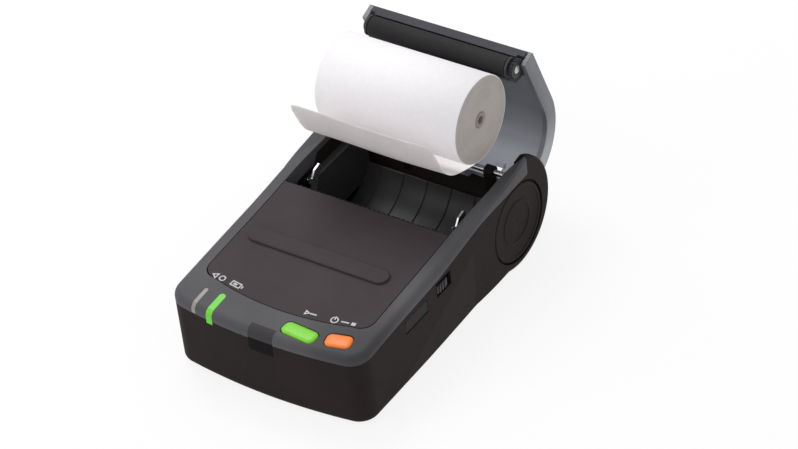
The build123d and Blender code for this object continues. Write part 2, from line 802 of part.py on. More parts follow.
with BuildPart() as power_socket:
    with Locations(Location((34.2, -20.8, 23.9), (0, 90, 0))):
        Cylinder(2.1, 6.0)
    with Locations(Location((35.4, -20.8, 23.9), (0, 90, 0))):
        Cylinder(1.5, 5.0, mode=Mode.SUBTRACT)
    with Locations(Location((34.6, -20.8, 23.9), (0, 90, 0))):
        Cylinder(0.5, 4.6)
    with Locations((33.2, -21.0, 21.9)):
        Box(4, 3, 1.0)
power_socket.part.label = "power_socket"
export_step(power_socket.part, "parts/power_socket.step")

with BuildPart() as rail_pin:
    with Locations(Location((34.2, 11.5, 34.0), (0, 90, 0))):
        Cylinder(0.8, 1.1)
rail_pin.part.label = "rail_pin"
export_step(rail_pin.part, "parts/rail_pin.step")

# Latch: a cross shaft with two hooked levers and an outside release lever
with BuildPart() as latch_levers:
    for side in (-1, 1):
        with BuildSketch(Plane.YZ.offset(side * 29.9 - 0.35)):
            with BuildLine():
                Polyline(
                    (latch_y - 2.2, latch_z - 1.6),
                    (latch_y + 1.0, latch_z - 2.4),
                    (16.0, 20.0),
                    (18.2, 27.0),
                    (21.8, 32.4),
                    (20.6, 33.6),
                    (17.4, 32.8),
                    (15.6, 30.4),
                    (13.3, 31.6),
                    (13.2, 29.9),
                    (14.4, 28.6),
                    (14.0, 23.0),
                    (5.0, 18.2),
                    (latch_y - 0.5, latch_z + 2.2),
                    (latch_y - 2.2, latch_z - 1.6),
                )
            make_face()
            with Locations((latch_y, latch_z)):
                Circle(1.0, mode=Mode.SUBTRACT)
        extrude(amount=0.7)
latch_levers.part.label = "latch_levers"
export_step(latch_levers.part, "parts/latch_levers.step")

with BuildPart() as latch_shaft:
    with Locations(Location((1.6, latch_y, latch_z), (0, 90, 0))):
        Cylinder(1.0, 67)
latch_shaft.part.label = "latch_shaft"
export_step(latch_shaft.part, "parts/latch_shaft.step")

with BuildPart() as latch_spring:
    add(Location((-26.0, latch_y, latch_z), (0, 90, 0)) * coil(1.25, 0.18, 0.6, 9.0))
latch_spring.part.label = "latch_spring"
export_step(latch_spring.part, "parts/latch_spring.step")

with BuildPart() as release_lever:
    with BuildSketch(Plane.YZ.offset(34.4)):
        with BuildLine():
            Polyline(
                (latch_y - 2.0, latch_z - 1.2),
                (latch_y + 1.2, latch_z - 1.8),
                (latch_y + 2.2, latch_z + 0.6),
                (-4.8, 26.6),
                (-11.2, 27.0),
                (-11.2, 24.0),
                (latch_y - 2.0, latch_z - 1.2),
            )
        make_face()
        with Locations((latch_y, latch_z)):
            Circle(1.0, mode=Mode.SUBTRACT)
    extrude(amount=1.0)
    with Locations((37.0, -8.1, 25.2)):
        Box(4.0, 6.0, 3.2)
    with Locations((39.1, -9.6, 25.2), (39.1, -8.1, 25.2), (39.1, -6.6, 25.2)):
        Box(0.5, 0.6, 3.0)
release_lever.part.label = "release_lever"
export_step(release_lever.part, "parts/release_lever.step")

# Lid
with BuildPart() as hinge_pin:
    with Locations(Location((0, hinge_y, hinge_z), (0, 90, 0))):
        Cylinder(pin_r, 75.6)
hinge_pin.part.label = "hinge_pin"
export_step(hinge_pin.part, "parts/hinge_pin.step")

with BuildPart() as lid_spring:
    add(Location((-4.6, hinge_y, hinge_z), (0, 90, 0)) * coil(2.3, 0.4, 1.1, 9.2))
lid_spring.part.label = "lid_spring"
export_step(lid_spring.part, "parts/lid_spring.step")

with BuildPart() as lid_shell:
    with BuildSketch(lid_plane):
        add(lid_band(lid_wall))
    extrude(amount=lid_half, both=True)
    # Seat for the holder's front flange
    with BuildSketch(lid_plane):
        Polygon(in_lid(4, 20), in_lid(4, 40), in_lid(8.2, 40), in_lid(8.2, 20), align=None)
    extrude(amount=31.8, both=True, mode=Mode.SUBTRACT)
    # Knuckles on the hinge pin
    for first, last in ((-33.5, -29.5), (-9.5, -5.5), (5.5, 9.5), (29.5, 33.5)):
        with BuildSketch(lid_plane.offset(first)):
            Circle(4.3)
        extrude(amount=last - first)
    for side in (-1, 1):
        with BuildSketch(lid_plane.offset(side * (lid_half - 0.9) - 0.9)):
            add(lid_band(5.8))
        extrude(amount=1.8)
    # Hinge gaps for the case lugs and the spring
    with BuildSketch(lid_plane.offset(15.7)):
        Circle(7.0)
    extrude(amount=4.0, mode=Mode.SUBTRACT)
    with BuildSketch(lid_plane.offset(-19.7)):
        Circle(7.0)
    extrude(amount=4.0, mode=Mode.SUBTRACT)
    with BuildSketch(lid_plane.offset(-5.5)):
        Circle(4.2)
    extrude(amount=11.0, mode=Mode.SUBTRACT)
    with BuildSketch(lid_plane.offset(-40)):
        Circle(pin_r + running)
    extrude(amount=80, mode=Mode.SUBTRACT)
lid_shell.part.label = "lid_shell"
export_step(lid_shell.part, "parts/lid_shell.step")

with BuildPart() as platen_holder:
    with BuildSketch(lid_plane):
        with BuildLine():
            Polyline(
                in_lid(7.0, 30.8),
                in_lid(7.0, 34.75),
                in_lid(8.1, 35.05),
                in_lid(8.1, 33.05),
                in_lid(17.0, 35.7),
                in_lid(17.0, 28.6),
                in_lid(14.0, 25.6),
                in_lid(12.0, 25.6),
                in_lid(7.0, 30.8),
            )
        make_face()
        with Locations(in_lid(platen_y, platen_z)):
            Circle(platen_r + 0.6, mode=Mode.SUBTRACT)
    extrude(amount=29.2, both=True)
    # Front flange and upper rib that reach both cheeks
    with BuildSketch(lid_plane):
        with BuildLine():
            Polyline(
                in_lid(7.0, 32.0),
                in_lid(7.0, 34.75),
                in_lid(8.1, 35.05),
                in_lid(8.1, 33.05),
                in_lid(17.0, 35.7),
                in_lid(17.0, 33.2),
                in_lid(7.0, 32.0),
            )
        make_face()
    extrude(amount=31.6, both=True)
    # End brackets that carry the bushes
    for side in (-1, 1):
        with BuildSketch(lid_plane.offset(side * 28.75 - 0.35)):
            with Locations(in_lid(platen_y, platen_z)):
                Circle(3.7)
            with BuildLine():
                Polyline(
                    in_lid(7.6, 29.0),
                    in_lid(7.6, 32.9),
                    in_lid(16.0, 35.3),
                    in_lid(16.0, 29.0),
                    in_lid(12.0, 25.0),
                    in_lid(7.6, 29.0),
                )
            make_face()
            with Locations(in_lid(platen_y, platen_z)):
                Circle(2.4, mode=Mode.SUBTRACT)
        extrude(amount=0.7)
platen_holder.part.label = "platen_holder"
export_step(platen_holder.part, "parts/platen_holder.step")

with BuildPart() as platen_bushes:
    for side in (-1, 1):
        with BuildSketch(lid_plane.offset(side * 29.25 - 0.95)):
            with Locations(in_lid(platen_y, platen_z)):
                Circle(2.4)
                Circle(shaft_r + running, mode=Mode.SUBTRACT)
        extrude(amount=1.9)
platen_bushes.part.label = "platen_bushes"
export_step(platen_bushes.part, "parts/platen_bushes.step")

with BuildPart() as platen_roller:
    with BuildSketch(lid_plane):
        with Locations(in_lid(platen_y, platen_z)):
            Circle(platen_r)
            Circle(shaft_r, mode=Mode.SUBTRACT)
    extrude(amount=28.0, both=True)
platen_roller.part.label = "platen_roller"
export_step(platen_roller.part, "parts/platen_roller.step")

with BuildPart() as platen_shaft:
    with BuildSketch(lid_plane.offset(-30.8)):
        with Locations(in_lid(platen_y, platen_z)):
            Circle(shaft_r)
    extrude(amount=62.3)
platen_shaft.part.label = "platen_shaft"
export_step(platen_shaft.part, "parts/platen_shaft.step")

platen_points = []
for index in range(platen_teeth):
    for radius, share in ((3.2, -0.30), (3.9, -0.12), (3.9, 0.12), (3.2, 0.30)):
        turn = math.radians((index + share) * 360 / platen_teeth)
        platen_points.append((radius * math.cos(turn), radius * math.sin(turn)))
with BuildPart() as platen_gear:
    with BuildSketch(lid_plane.offset(30.5)):
        with Locations(in_lid(platen_y, platen_z)):
            Polygon(*platen_points, align=None)
            Circle(shaft_r, mode=Mode.SUBTRACT)
    extrude(amount=1.0)
platen_gear.part.label = "platen_gear"
export_step(platen_gear.part, "parts/platen_gear.step")

# Paper
with BuildPart() as paper_core:
    with Locations(Location((0, roll_y, roll_z), (0, 90, 0))):
        Cylinder(core_r, 2 * paper_half)
        Cylinder(core_r - core_wall, 2 * paper_half, mode=Mode.SUBTRACT)
paper_core.part.label = "paper_core"
export_step(paper_core.part, "parts/paper_core.step")

with BuildPart() as paper_roll:
    with Locations(Location((0, roll_y, roll_z), (0, 90, 0))):
        Cylinder(roll_r, 2 * paper_half)
        Cylinder(core_r + running, 2 * paper_half, mode=Mode.SUBTRACT)
paper_roll.part.label = "paper_roll"
export_step(paper_roll.part, "parts/paper_roll.step")

tail_line = [(-9.2, -13.8), (-16.0, -11.9), (-22.3, -8.6), (-26.6, -1.4), (-30.3, 8.5)]
tail_back = [(-9.1, -13.55), (-15.9, -11.65), (-22.1, -8.4), (-26.35, -1.3), (-30.05, 8.6)]
with BuildPart() as paper_tail:
    with BuildSketch(Plane.YZ.offset(-paper_half)):
        with BuildLine():
            Spline([(roll_y + y, roll_z + z) for y, z in tail_line])
            Line(
                (roll_y + tail_line[-1][0], roll_z + tail_line[-1][1]),
                (roll_y + tail_back[-1][0], roll_z + tail_back[-1][1]),
            )
            Spline([(roll_y + y, roll_z + z) for y, z in reversed(tail_back)])
            Line(
                (roll_y + tail_back[0][0], roll_z + tail_back[0][1]),
                (roll_y + tail_line[0][0], roll_z + tail_line[0][1]),
            )
        make_face()
    extrude(amount=2 * paper_half)
paper_tail.part.label = "paper_tail"
export_step(paper_tail.part, "parts/paper_tail.step")
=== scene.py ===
"""Looks, light and camera for the portable printer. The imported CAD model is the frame.

Metres, in the CAD's own frame: X to the right, Y to the rear, Z up. The CAD nodes keep their shapes
and get finishes. The roll, its loose end, the two button caps and the printed signs are made here.
"""

import json
import math
import random

import bmesh
import bpy
from mathutils import Matrix, Vector


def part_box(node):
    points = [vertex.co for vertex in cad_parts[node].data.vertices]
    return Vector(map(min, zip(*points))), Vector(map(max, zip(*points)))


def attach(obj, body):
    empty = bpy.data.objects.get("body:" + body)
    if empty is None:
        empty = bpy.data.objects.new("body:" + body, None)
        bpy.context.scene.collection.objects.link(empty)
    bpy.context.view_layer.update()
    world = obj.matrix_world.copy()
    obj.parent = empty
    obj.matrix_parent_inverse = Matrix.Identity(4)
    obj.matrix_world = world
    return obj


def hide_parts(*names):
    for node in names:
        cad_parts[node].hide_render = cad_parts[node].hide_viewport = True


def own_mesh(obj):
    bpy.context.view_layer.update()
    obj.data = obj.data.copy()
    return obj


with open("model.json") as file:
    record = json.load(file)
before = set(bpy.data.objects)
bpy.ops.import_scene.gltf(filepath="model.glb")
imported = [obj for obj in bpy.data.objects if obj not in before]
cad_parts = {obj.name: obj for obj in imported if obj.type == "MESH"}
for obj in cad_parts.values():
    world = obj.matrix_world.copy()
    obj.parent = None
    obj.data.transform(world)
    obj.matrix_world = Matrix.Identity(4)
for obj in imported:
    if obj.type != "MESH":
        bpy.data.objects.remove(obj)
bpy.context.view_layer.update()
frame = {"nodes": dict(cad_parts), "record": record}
nodes = frame["nodes"]
scene = bpy.context.scene
random.seed(58)

# Paper roll, as in the CAD: its axis, its radius, the core's radius and half the paper's width
ROLL_Y = 0.0378
ROLL_Z = 0.0603
ROLL_R = 0.016
CORE_R = 0.0028
PAPER_HALF = 0.02875

# Front panel, as in the CAD: its height at one y, and how much it rises to the rear
PANEL_Y = -0.025
PANEL_Z = 0.0325
PANEL_SLOPE = 0.076

# Heights and places where a finish changes, from and to; all but the lid's clear part carry painted
# light or shade
# Painted shade on the right front, across x and y
RIGHT_SHADE_X = (0.012, 0.036)
RIGHT_SHADE_Y = (-0.026, -0.046)
WINDOW_LIGHT_Z = (0.0263, 0.0267)
LID_LIGHT_Z = (0.04, 0.0225)
LID_CLEAR_Z = (0.0285, 0.0225)
FOLD_GLOW_Z = (ROLL_Z - 0.0118, ROLL_Z - 0.0132)

# Camera, fitted to the case edges, the roll and the lid in the photograph
AZIMUTH = 37.61
ELEVATION = 38.37
CAMERA_ROLL = -6.97
DISTANCE = 1.16151
AIM_RIGHT = 0.011177
AIM_UP = 0.024705
SENSOR_MM = 36
PHOTO_WIDTH = 798
PIXELS_PER_MM = 2.88


def make_camera():
    azimuth = math.radians(AZIMUTH)
    elevation = math.radians(ELEVATION)
    roll = math.radians(CAMERA_ROLL)
    back = Vector((
        math.sin(azimuth) * math.cos(elevation),
        -math.cos(azimuth) * math.cos(elevation),
        math.sin(elevation),
    ))
    level = Vector((math.cos(azimuth), math.sin(azimuth), 0))
    upright = back.cross(level)
    right = level * math.cos(roll) + upright * math.sin(roll)
    up = upright * math.cos(roll) - level * math.sin(roll)
    data = bpy.data.cameras.new("camera")
    data.sensor_width = SENSOR_MM
    data.lens = SENSOR_MM * DISTANCE * 1000 * PIXELS_PER_MM / PHOTO_WIDTH
    data.clip_start = 0.05
    data.clip_end = 20
    camera = bpy.data.objects.new("camera", data)
    place = right * AIM_RIGHT + up * AIM_UP + back * DISTANCE
    turn = Matrix((right, up, back)).transposed().to_4x4()
    camera.matrix_world = Matrix.Translation(place) @ turn
    scene.collection.objects.link(camera)
    scene.camera = camera


make_camera()


# Colours and shader maths
def srgb(red, green, blue):
    """A linear colour from screen values of 0 to 255."""
    linear = []
    for value in (red / 255, green / 255, blue / 255):
        linear.append(value / 12.92 if value <= 0.04045 else ((value + 0.055) / 1.055) ** 2.4)
    return (*linear, 1.0)


def shaded(colour, share, lift=0.0):
    """A colour made darker or paler by a share and a lift, opaque, never above white."""
    return tuple(min(1.0, part * share + lift) for part in colour[:3]) + (1.0,)


class Value:
    """A number socket that takes part in Python sums."""

    def __init__(self, net, socket):
        self.net = net
        self.socket = socket

    def sum(self, operation, *others):
        values = [other.socket if isinstance(other, Value) else other for other in others]
        made = self.net.node("ShaderNodeMath", {"operation": operation}, *values)
        return Value(self.net, made.outputs[0])

    def __add__(self, other):
        return self.sum("ADD", self, other)

    def __sub__(self, other):
        return self.sum("SUBTRACT", self, other)

    def __mul__(self, other):
        return self.sum("MULTIPLY", self, other)

    def __radd__(self, other):
        return self.sum("ADD", other, self)

    def __rsub__(self, other):
        return self.sum("SUBTRACT", other, self)

    def __rmul__(self, other):
        return self.sum("MULTIPLY", other, self)

    def __abs__(self):
        return self.sum("ABSOLUTE", self)

    def __gt__(self, other):
        return self.sum("GREATER_THAN", self, other)

    def __lt__(self, other):
        return self.sum("LESS_THAN", self, other)

    def root(self):
        return self.sum("SQRT", self)


class Net:
    """A material's node tree."""

    def __init__(self, name):
        self.material = bpy.data.materials.new(name)
        self.material.use_nodes = True
        self.tree = self.material.node_tree
        self.tree.nodes.clear()
        self.place = self.node("ShaderNodeTexCoord").outputs["Object"]

    def node(self, kind, settings=None, *values, **named):
        """One node: its settings first, then the values or links of its sockets."""
        made = self.tree.nodes.new(kind)
        for key, setting in (settings or {}).items():
            setattr(made, key, setting)
        pairs = list(zip(made.inputs, values))
        for key, value in named.items():
            pairs.append((made.inputs[key.replace("_", " ")], value))
        for socket, value in pairs:
            if isinstance(value, Value):
                value = value.socket
            if isinstance(value, bpy.types.NodeSocket):
                self.tree.links.new(value, socket)
            elif value is not None:
                socket.default_value = value
        return made

    def axes(self):
        """The object's own x, y and z."""
        split = self.node("ShaderNodeSeparateXYZ", None, self.place)
        return [Value(self, output) for output in split.outputs]

    def point(self, x, y, z):
        return self.node("ShaderNodeCombineXYZ", None, x, y, z).outputs[0]

    def noise(self, scale, detail=2.0, place=None, roughness=0.5):
        made = self.node(
            "ShaderNodeTexNoise",
            Vector=place or self.place,
            Scale=scale,
            Detail=detail,
            Roughness=roughness,
        )
        return Value(self, made.outputs["Fac"])

    def fit(self, value, low, high, to_low=0.0, to_high=1.0):
        """A value moved from one range to another, and held within it."""
        made = self.node(
            "ShaderNodeMapRange",
            Value=value,
            From_Min=low,
            From_Max=high,
            To_Min=to_low,
            To_Max=to_high,
        )
        return Value(self, made.outputs["Result"])

    def mix(self, share, first, second):
        """Colour between two colours."""
        made = self.tree.nodes.new("ShaderNodeMix")
        made.data_type = "RGBA"
        for index, value in ((0, share), (6, first), (7, second)):
            if isinstance(value, Value):
                value = value.socket
            if isinstance(value, bpy.types.NodeSocket):
                self.tree.links.new(value, made.inputs[index])
            else:
                made.inputs[index].default_value = value
        return made.outputs[2]

    def bump(self, height, strength, distance=0.0001, normal=None):
        made = self.node(
            "ShaderNodeBump",
            Height=height,
            Strength=strength,
            Distance=distance,
            Normal=normal,
        )
        return made.outputs["Normal"]

    def edges(self, radius):
        """A mask that is 1 on sharp outer edges, and the normal rounded there."""
        bevel = self.node("ShaderNodeBevel", {"samples": 4}, radius).outputs[0]
        plain = self.node("ShaderNodeNewGeometry").outputs["Normal"]
        dot = self.node("ShaderNodeVectorMath", {"operation": "DOT_PRODUCT"}, bevel, plain)
        return self.fit(dot.outputs["Value"], 0.98, 0.75), bevel

    def surface(self, **values):
        return self.node("ShaderNodeBsdfPrincipled", None, **values).outputs[0]

    def finish(self, shader):
        """The material, with the shader on its surface."""
        out = self.node("ShaderNodeOutputMaterial")
        self.tree.links.new(shader, out.inputs["Surface"])
        return self.material


# Finishes
def moulded(name, dark, light, roughness, grain, depth, level=0.3, polish=0.35, right_shade=0.0):
    """Moulded plastic: slow drift of colour, fine grain, edges polished by handling.

    Grain is the scale of the noise, depth its bump, level the specular level, polish how pale the
    worn edges are. The share of painted shade darkens the right front, more towards +x and the
    front.
    """
    net = Net(name)
    drift = net.fit(net.noise(45, 3), 0.3, 0.7)
    fine = net.noise(grain, 2)
    scuffs = net.fit(net.noise(160, 4, roughness=0.7), 0.55, 0.75)
    worn, rounded = net.edges(0.0004)
    colour = net.mix(worn * polish, net.mix(drift, dark, light), shaded(light, 1.9, 0.012))
    # Painted shade: the right front is darkened, more towards +x and the front
    if right_shade:
        x, y = net.axes()[:2]
        shade_share = net.fit(x, *RIGHT_SHADE_X) * net.fit(y, *RIGHT_SHADE_Y)
        colour = net.mix(shade_share * right_shade, colour, shaded(dark, 0.5))
    gloss = net.fit(fine, 0.3, 0.7, roughness - 0.06, roughness + 0.06)
    return net.finish(net.surface(
        Base_Color=colour,
        Roughness=gloss - worn * 0.1 + scuffs * 0.05,
        Normal=net.bump(fine, depth, 0.00005, rounded),
        Specular_IOR_Level=level,
    ))


def drawn_metal(name, colour, roughness):
    """Metal with fine lines along X and a few dull spots."""
    net = Net(name)
    x, y, z = net.axes()
    lines = net.noise(4000, 2, net.point(x * 0.02, y, z))
    spots = net.fit(net.noise(250, 3), 0.35, 0.7)
    rounded = net.edges(0.0002)[1]
    return net.finish(net.surface(
        Base_Color=net.mix(spots, colour, shaded(colour, 0.75)),
        Metallic=1.0,
        Roughness=net.fit(lines, 0.3, 0.7, roughness * 0.8, roughness * 1.1),
        Normal=net.bump(lines, 0.12, 0.00003, rounded),
    ))


def dark_window():
    """Small window: painted light makes its top grey, painted shade makes the side that goes down
    the case almost black.
    """
    net = Net("dark_window")
    z = net.axes()[2]
    fine = net.noise(900, 2)
    # Painted light and shade: grey on the top, almost black on the side down the case
    lit_top = net.fit(z, *WINDOW_LIGHT_Z)
    shade = net.mix(net.fit(fine, 0.3, 0.7), srgb(9, 6, 6), srgb(14, 10, 10))
    return net.finish(net.surface(
        Base_Color=net.mix(lit_top, shade, srgb(66, 64, 66)),
        Roughness=net.fit(fine, 0.3, 0.7, 0.5, 0.6),
        Specular_IOR_Level=0.06,
        Normal=net.bump(fine, 0.02, 0.00005),
    ))


def button_gel(name, colour, painted_glow):
    """Coloured button or light: cloudy inside, paler along its edges, with painted light as
    emission.
    """
    net = Net(name)
    worn, rounded = net.edges(0.0004)
    cloud = net.fit(net.noise(220, 2), 0.3, 0.7, 0.0, 0.06)
    return net.finish(net.surface(
        Base_Color=net.mix(cloud + worn * 0.3, colour, shaded(colour, 0.6, 0.4)),
        Roughness=net.fit(net.noise(1500, 2), 0.3, 0.7, 0.24, 0.34),
        Normal=net.bump(net.noise(1500, 2), 0.03, 0.00005, rounded),
        Specular_IOR_Level=0.3,
        # Painted light: emission makes the part glow, though it is no lamp
        Emission_Color=colour,
        Emission_Strength=painted_glow,
    ))


def smoke_plastic():
    """Smoke-tinted clear lid, a little cloudy, clearer towards its hinge and painted paler there as
    painted light.
    """
    net = Net("smoke")
    z = net.axes()[2]
    worn, rounded = net.edges(0.0005)
    cloud = net.fit(net.noise(60, 3), 0.3, 0.7)
    # Painted light: the lid turns paler towards its hinge, where the light inside is weak
    depth = net.fit(z, *LID_LIGHT_Z)
    low = net.fit(z, *LID_CLEAR_Z)
    body = net.mix(cloud, srgb(110, 112, 117), srgb(122, 125, 131))
    body = net.mix(depth, body, srgb(186, 189, 194))
    body = net.mix(worn * 0.35, body, srgb(160, 163, 168))
    solid = net.surface(
        Base_Color=body,
        Roughness=net.fit(cloud, 0.0, 1.0, 0.16, 0.24),
        Normal=net.bump(net.noise(900, 2), 0.02, 0.00005, rounded),
        Specular_IOR_Level=0.5,
    )
    clear = net.node("ShaderNodeBsdfTransparent", None, srgb(214, 216, 221)).outputs[0]
    facing = net.node("ShaderNodeLayerWeight", None, 0.35).outputs["Facing"]
    share = net.fit(Value(net, facing), 0.0, 1.0, 0.62, 0.92) * (1.0 - low * 0.4)
    return net.finish(net.node("ShaderNodeMixShader", None, share, clear, solid).outputs[0])


def wound_paper():
    """Thermal paper on the roll: white outside, rings of paper edges on its ends, painted grey
    there as painted shade.
    """
    net = Net("wound_paper")
    x, y, z = net.axes()
    y_off = y - ROLL_Y
    z_off = z - ROLL_Z
    radius = (y_off * y_off + z_off * z_off).root()
    rings = net.noise(1.0, 3, net.point(radius * 5200, 0.0, 0.0), 0.65)
    broad = net.noise(1.0, 2, net.point(radius * 700, 3.0, 0.0))
    smudge = net.fit(net.noise(90, 2), 0.35, 0.65)
    tone = net.fit(rings * 0.5 + broad * 0.3 + smudge * 0.2, 0.3, 0.7)
    # Painted shade: the roll's ends are grey beside its white outside
    ends = net.mix(tone, srgb(162, 155, 151), srgb(180, 174, 169))
    fibre = net.noise(700, 4)
    face = net.mix(net.fit(fibre, 0.35, 0.65), srgb(241, 239, 242), srgb(244, 242, 245))
    on_end = (abs(x) > PAPER_HALF - 0.0004) * (radius < ROLL_R - 0.0003)
    return net.finish(net.surface(
        Base_Color=net.mix(on_end, face, ends),
        Roughness=0.62,
        Specular_IOR_Level=0.3,
        Normal=net.bump(fibre + rings * on_end, 0.03, 0.0001),
    ))


def loose_paper():
    """The loose end: off-white paper, with painted light as emission low in its bend under the
    roll.
    """
    net = Net("loose_paper")
    # Painted light: emission brightens the loose end low under the roll
    fold_glow = net.fit(net.axes()[2], *FOLD_GLOW_Z)
    fibre = net.noise(700, 4)
    tone = net.fit(net.noise(60, 2), 0.35, 0.65)
    colour = net.mix(tone, srgb(226, 219, 217), srgb(234, 229, 228))
    return net.finish(net.surface(
        Base_Color=net.mix(net.fit(fibre, 0.3, 0.7, 0.0, 0.3), colour, srgb(244, 242, 244)),
        Roughness=0.62,
        Specular_IOR_Level=0.3,
        Normal=net.bump(fibre, 0.04, 0.0001),
        Emission_Color=net.mix(fold_glow, (0, 0, 0, 1), srgb(232, 234, 235)),
        Emission_Strength=0.42,
    ))


def printed_mark():
    """Pale ink, slightly uneven where it meets the grain."""
    net = Net("printed_mark")
    speck = net.fit(net.noise(2600, 2), 0.3, 0.7)
    return net.finish(net.surface(
        Base_Color=net.mix(speck, srgb(176, 176, 178), srgb(206, 206, 208)),
        Roughness=0.55,
        Specular_IOR_Level=0.3,
    ))


# Finishes of moulded plastic, each named for its slot or its piece: dark tone, light tone,
# roughness, grain, depth, and where they aren't the usual ones level, polish and painted shade on
# the right front
PLASTICS = {
    "case_dark": ((33, 26, 26), (39, 31, 31), 0.62, 2600, 0.16, 0.1),
    "frame_grey": ((76, 75, 79), (86, 85, 89), 0.55, 2600, 0.16, 0.2, 0.35, 0.7),
    "panel_dark": ((58, 51, 53), (64, 57, 59), 0.58, 2600, 0.16, 0.15),
    "well_black": ((52, 50, 52), (60, 58, 60), 0.42, 1800, 0.08),
    "inner_black": ((34, 34, 37), (40, 40, 44), 0.4, 1800, 0.06),
    "rubber_black": ((38, 37, 38), (44, 43, 44), 0.7, 1500, 0.25, 0.2, 0.1),
    "board_green": ((22, 70, 44), (30, 84, 54), 0.3, 900, 0.05, 0.5, 0.1),
    "battery_blue": ((52, 58, 70), (60, 66, 78), 0.35, 900, 0.05),
    "cable": ((180, 108, 44), (196, 124, 56), 0.3, 900, 0.03),
    "gear_white": ((206, 202, 190), (220, 216, 205), 0.4, 1500, 0.05),
    "ceramic": ((214, 212, 204), (226, 224, 216), 0.22, 900, 0.02),
    "emitter": ((220, 222, 214), (235, 235, 228), 0.15, 900, 0.02),
    "core_grey": ((142, 132, 130), (160, 150, 147), 0.8, 900, 0.3, 0.2, 0.1),
    "holder_grey": ((64, 63, 68), (71, 70, 75), 0.55, 1800, 0.1, 0.15),
}

# Finishes of metal: colour and roughness
METALS = {
    "steel": ((214, 212, 208), 0.28),
    "aluminium": ((184, 186, 188), 0.4),
    "brass": ((214, 186, 120), 0.3),
    "dark_steel": ((52, 51, 52), 0.5),
}

# Finishes of buttons and lights: colour and the strength of their painted emission
GELS = {
    "green_button": ((120, 202, 50), 0.1),
    "orange_button": ((242, 128, 50), 0.08),
    "light_grey": ((146, 142, 137), 0.0),
    "light_green": ((92, 196, 36), 0.15),
}

finishes = {"lens_black": dark_window(), "smoke": smoke_plastic(), "paper_white": wound_paper()}
for name, (dark, light, *rest) in PLASTICS.items():
    finishes[name] = moulded(name, srgb(*dark), srgb(*light), *rest)
for name, (colour, roughness) in METALS.items():
    finishes[name] = drawn_metal(name, srgb(*colour), roughness)
for name, (colour, painted_glow) in GELS.items():
    finishes[name] = button_gel(name, srgb(*colour), painted_glow)
LOOSE_PAPER = loose_paper()
PRINTED_MARK = printed_mark()

# Nodes whose finish isn't the one of their slot
own_finish = {"platen_holder": "holder_grey", "tear_bar": "dark_steel"}
slots = {entry["node"]: entry["material_slot"] for entry in frame["record"]["subparts"]}
for name, node in nodes.items():
    node.data.materials.clear()
    node.data.materials.append(finishes[own_finish.get(name, slots[name])])


# Roll and its loose end: steps of their meshes, and how uneven, long, wavy and thick the paper is
WOUND_RINGS = 26
WOUND_STEPS = 128
TAIL_COLUMNS = 12
END_UNEVEN = 0.00012
TAIL_REACH = 0.030
TAIL_WAVE = 0.0003
TAIL_THICKNESS = 0.00012


def new_piece(name, mesh, finish, body, smooth=True):
    """Turns a bmesh into a piece that rides on a body."""
    data = bpy.data.meshes.new(name)
    mesh.to_mesh(data)
    mesh.free()
    data.materials.append(finish)
    for face in data.polygons:
        face.use_smooth = smooth
    piece = bpy.data.objects.new(name, data)
    scene.collection.objects.link(piece)
    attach(piece, body)
    return piece


def wound_roll():
    """The roll, spun from half its outline, with uneven layers on both ends."""
    mesh = bmesh.new()
    inner = CORE_R + 0.0003
    outer = ROLL_R - 0.0004
    outline = [(PAPER_HALF - 0.0003, CORE_R + 0.00005)]
    for index in range(WOUND_RINGS + 1):
        radius = inner + (outer - inner) * index / WOUND_RINGS
        outline.append((PAPER_HALF - random.uniform(0.0, END_UNEVEN), radius))
    outline.append((PAPER_HALF - 0.00005, ROLL_R - 0.00015))
    outline.append((PAPER_HALF - 0.0002, ROLL_R))
    left = [(-x, radius) for x, radius in reversed(outline)]
    ring = [mesh.verts.new((x, ROLL_Y, ROLL_Z + radius)) for x, radius in outline + left]
    for first, second in zip(ring, ring[1:] + ring[:1]):
        mesh.edges.new((first, second))
    bmesh.ops.spin(
        mesh,
        geom=mesh.verts[:] + mesh.edges[:],
        cent=(0, ROLL_Y, ROLL_Z),
        axis=(1, 0, 0),
        angle=math.tau,
        steps=WOUND_STEPS,
        use_merge=True,
    )
    bmesh.ops.recalc_face_normals(mesh, faces=mesh.faces[:])
    piece = new_piece("wound_roll", mesh, finishes["paper_white"], "roll")
    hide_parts("paper_roll")


# Side view of the loose end, from under the roll to its free edge, from the roll's axis
TAIL_LINE = (
    (-0.0040, -0.0156),
    (-0.0092, -0.0140),
    (-0.0145, -0.0125),
    (-0.0190, -0.0108),
    (-0.0225, -0.0082),
    (-0.0248, -0.0046),
    (-0.0267, -0.0004),
    (-0.0285, 0.0038),
    (-0.0301, 0.0085),
)


